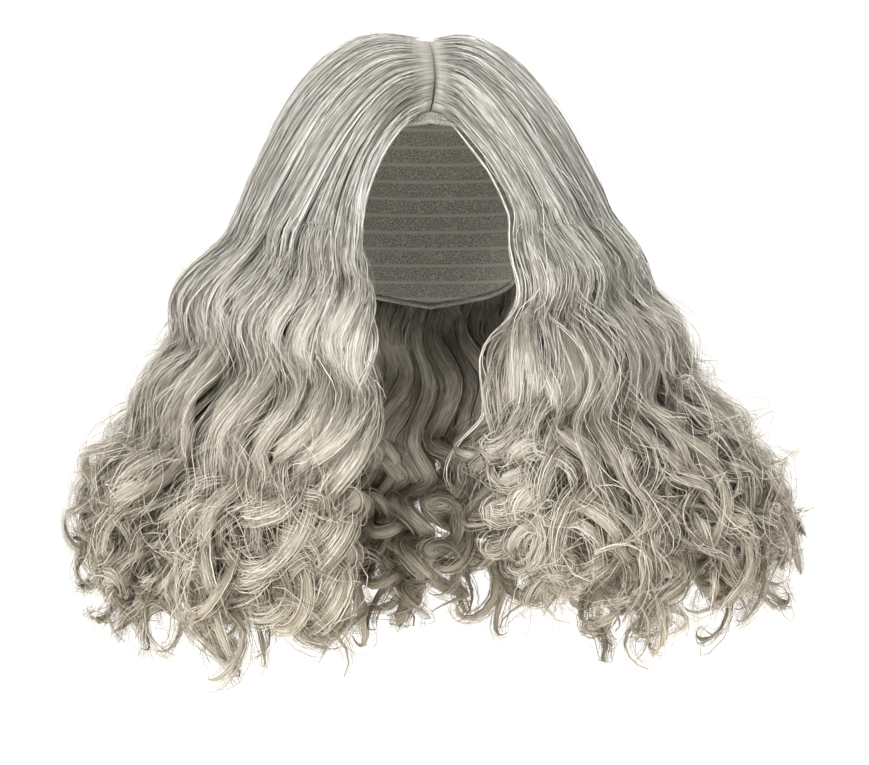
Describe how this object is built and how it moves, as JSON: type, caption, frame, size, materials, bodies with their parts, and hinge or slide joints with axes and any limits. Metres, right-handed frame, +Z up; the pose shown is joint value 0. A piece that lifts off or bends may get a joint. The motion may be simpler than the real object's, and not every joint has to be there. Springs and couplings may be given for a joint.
{
  "type": "curly wig",
  "caption": "Long costume wig of silver-grey hair with a centre parting, combed flat over the crown and falling past the shoulders in wavy locks with curled ends.",
  "frame": {"origin": "inside top of the cap, where the wig sits on the top of the head", "axes": "+Z up, the face opening looks along -Y, +X is the wearer's left side and the right side of the picture"},
  "size_m": [0.526, 0.2906, 0.4751],
  "materials": {
    "cap_net": "matte net",
    "crown_fibre": "satin combed fibre",
    "lock_fibre": "satin wavy fibre"
  },
  "bodies": {
    "root": {"cap": "cap_net", "crown_left": "crown_fibre", "crown_right": "crown_fibre", "face_lock_left": "lock_fibre", "front_lock_left_1": "lock_fibre", "front_lock_left_2": "lock_fibre", "side_lock_left_1": "lock_fibre", "side_lock_left_2": "lock_fibre", "side_lock_left_3": "lock_fibre", "back_lock_left_1": "lock_fibre", "back_lock_left_2": "lock_fibre", "back_lock_left_3": "lock_fibre", "face_lock_right": "lock_fibre", "front_lock_right_1": "lock_fibre", "front_lock_right_2": "lock_fibre", "side_lock_right_1": "lock_fibre", "side_lock_right_2": "lock_fibre", "side_lock_right_3": "lock_fibre", "back_lock_right_1": "lock_fibre", "back_lock_right_2": "lock_fibre", "back_lock_right_3": "lock_fibre"}
  },
  "joints": []
}
